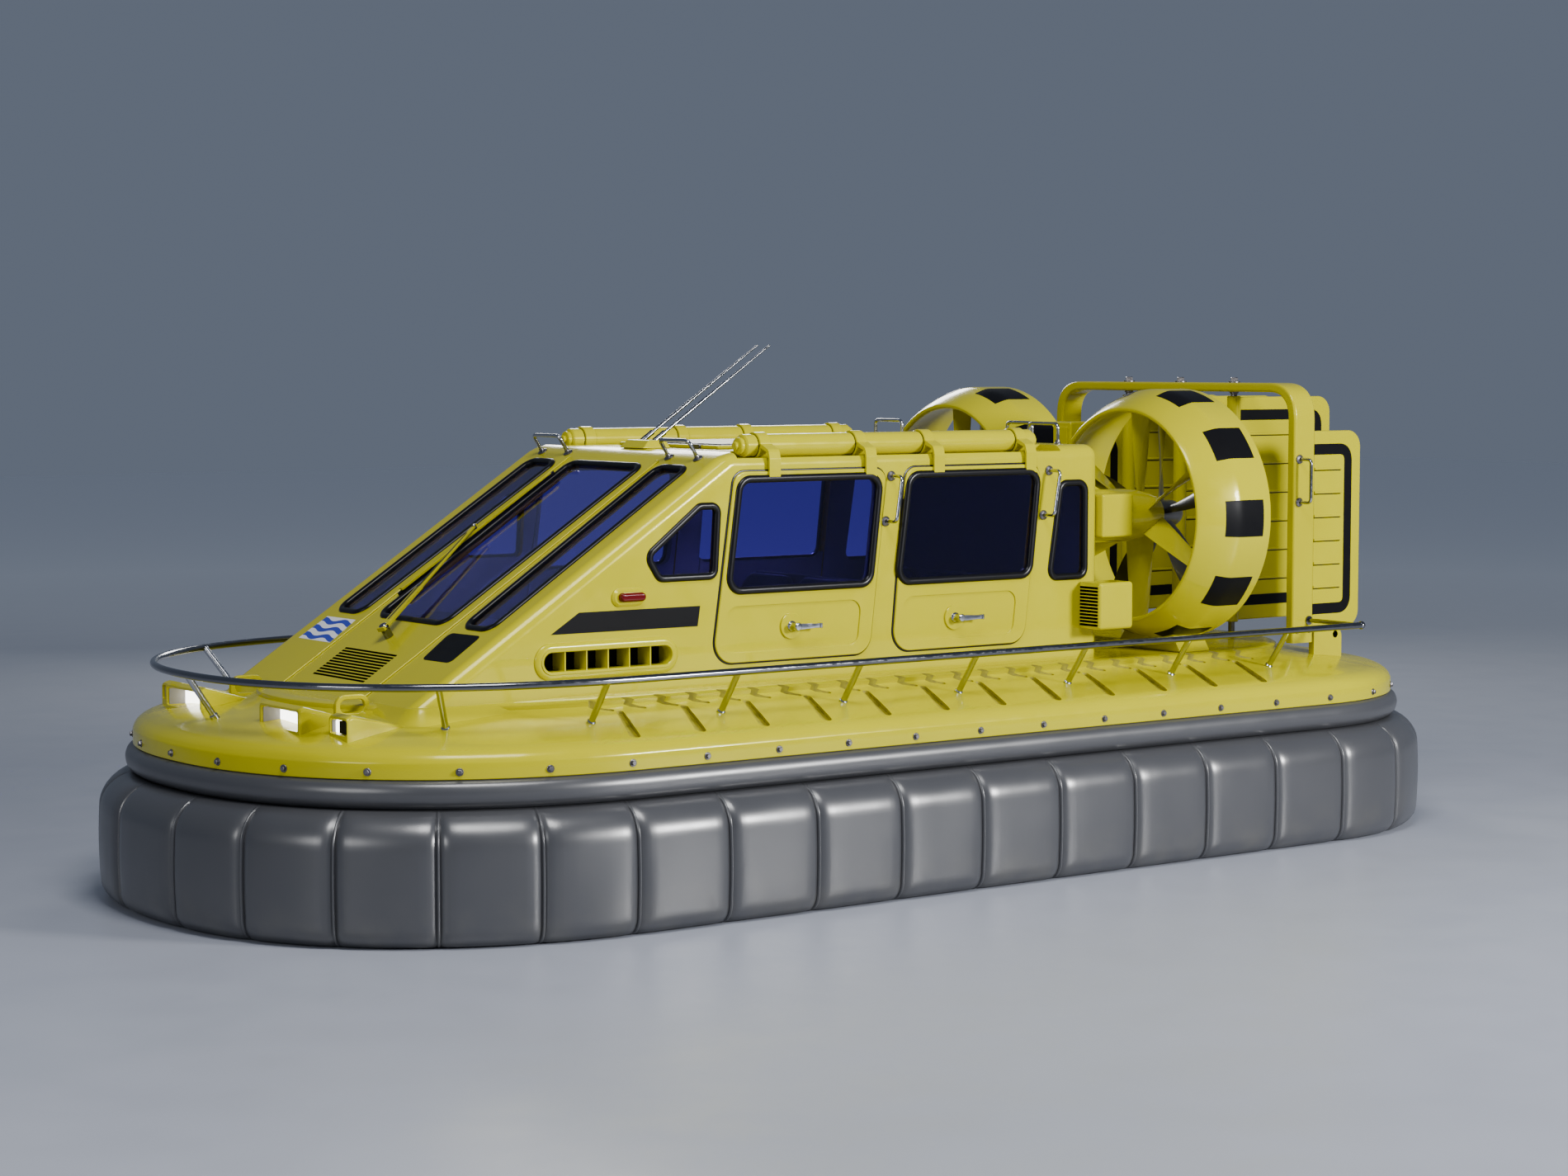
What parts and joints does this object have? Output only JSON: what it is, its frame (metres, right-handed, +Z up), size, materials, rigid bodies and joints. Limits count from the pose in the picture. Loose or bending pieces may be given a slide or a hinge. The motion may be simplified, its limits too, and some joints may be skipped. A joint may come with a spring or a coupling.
{
  "type": "hovercraft",
  "caption": "Small passenger hovercraft on an inflated segmented skirt, with a hinged-door cabin, ducted air propellers and rudders behind them.",
  "frame": {"origin": "on the floor, below the middle of the skirt's plan box", "axes": "+X towards the bow, +Y to port, +Z up"},
  "size_m": [8.77, 3.95, 3.0933],
  "materials": {
    "gelcoat": "bright yellow gelcoat, glossy, with rolled edges",
    "skirt": "dark grey rubber-coated cloth, satin",
    "tinted_glass": "dark blue tinted safety glass",
    "polished_steel": "polished stainless tube",
    "dark_resin": "black moulded plastic and composite",
    "seat_vinyl": "black padded vinyl",
    "engine": "grey painted casting"
  },
  "bodies": {
    "craft": {"skirt_segments": "skirt", "skirt_band": "skirt", "hull_and_deck": "gelcoat", "engine_block": "engine", "engine_hatch": "gelcoat", "landing_skid_port": "dark_resin", "landing_skid_starboard": "dark_resin", "cabin_nose": "gelcoat", "cabin_roof": "gelcoat", "cabin_rear_wall": "gelcoat", "cabin_side_port": "gelcoat", "cabin_side_starboard": "gelcoat", "windscreen_centre": "tinted_glass", "windscreen_port": "tinted_glass", "windscreen_starboard": "tinted_glass", "nose_window_port": "tinted_glass", "nose_window_starboard": "tinted_glass", "rear_window_port": "tinted_glass", "rear_window_starboard": "tinted_glass", "roof_tube_port": "gelcoat", "roof_tube_starboard": "gelcoat", "roof_hatches": "dark_resin", "antenna_set": "gelcoat", "dashboard": "dark_resin", "seats_front": "seat_vinyl", "seats_middle": "seat_vinyl", "seats_rear": "seat_vinyl", "intake_box_port": "gelcoat", "intake_box_starboard": "gelcoat", "duct_port": "gelcoat", "duct_starboard": "gelcoat", "duct_bridge": "gelcoat", "arch": "gelcoat", "side_fin_port": "gelcoat", "side_fin_starboard": "gelcoat", "handrail": "polished_steel"},
    "front_port_door": {"door_front_port": "gelcoat", "door_glass_front_port": "tinted_glass"},
    "rear_port_door": {"door_rear_port": "gelcoat", "door_glass_rear_port": "tinted_glass"},
    "front_starboard_door": {"door_front_starboard": "gelcoat", "door_glass_front_starboard": "tinted_glass"},
    "rear_starboard_door": {"door_rear_starboard": "gelcoat", "door_glass_rear_starboard": "tinted_glass"},
    "port_propeller": {"propeller_port": "dark_resin"},
    "starboard_propeller": {"propeller_starboard": "dark_resin"},
    "port_rudder": {"rudder_port": "gelcoat"},
    "centre_rudder": {"rudder_centre": "gelcoat"},
    "starboard_rudder": {"rudder_starboard": "gelcoat"},
    "wiper": {"wiper_arm": "gelcoat"},
    "wiper_blade": {"wiper_blade": "gelcoat"}
  },
  "joints": [
    {"name": "front_port_door_hinge", "type": "hinge", "parent": "craft", "child": "front_port_door", "pos_m": [0.607, 0.912, 2.511], "axis": [1, 0, 0], "range_deg": [0, 80]},
    {"name": "rear_port_door_hinge", "type": "hinge", "parent": "craft", "child": "rear_port_door", "pos_m": [-0.61, 0.912, 2.511], "axis": [1, 0, 0], "range_deg": [0, 80]},
    {"name": "front_starboard_door_hinge", "type": "hinge", "parent": "craft", "child": "front_starboard_door", "pos_m": [0.607, -0.912, 2.511], "axis": [-1, 0, 0], "range_deg": [0, 80]},
    {"name": "rear_starboard_door_hinge", "type": "hinge", "parent": "craft", "child": "rear_starboard_door", "pos_m": [-0.61, -0.912, 2.511], "axis": [-1, 0, 0], "range_deg": [0, 80]},
    {"name": "port_propeller_spin", "type": "hinge", "parent": "craft", "child": "port_propeller", "pos_m": [-2.235, 0.88, 2.027], "axis": [1, 0, 0], "continuous": true},
    {"name": "starboard_propeller_spin", "type": "hinge", "parent": "craft", "child": "starboard_propeller", "pos_m": [-2.235, -0.88, 2.027], "axis": [1, 0, 0], "continuous": true},
    {"name": "centre_rudder_turn", "type": "hinge", "parent": "craft", "child": "centre_rudder", "pos_m": [-3.24, 0, 1.27], "axis": [0, 0, 1], "range_deg": [-30, 30]},
    {"name": "port_rudder_turn", "type": "hinge", "parent": "craft", "child": "port_rudder", "pos_m": [-3.24, 0.508, 1.27], "axis": [0, 0, 1], "range_deg": [-31, 31]},
    {"name": "starboard_rudder_turn", "type": "hinge", "parent": "craft", "child": "starboard_rudder", "pos_m": [-3.24, -0.508, 1.27], "axis": [0, 0, 1], "range_deg": [-31, 31]},
    {"name": "wiper_sweep", "type": "hinge", "parent": "craft", "child": "wiper", "pos_m": [2.8504, 0, 1.4495], "axis": [-0.5417, 0, -0.8406], "range_deg": [0, 42]},
    {"name": "wiper_blade_swivel", "type": "hinge", "parent": "wiper", "child": "wiper_blade", "pos_m": [2.0401, -0.37, 1.9717], "axis": [-0.5417, 0, -0.8406], "range_deg": [-43, 1]}
  ],
  "couplings": [
    {"joint": "port_rudder_turn", "follows": "centre_rudder_turn", "ratio": 1},
    {"joint": "starboard_rudder_turn", "follows": "centre_rudder_turn", "ratio": 1},
    {"joint": "wiper_blade_swivel", "follows": "wiper_sweep", "ratio": -1}
  ]
}
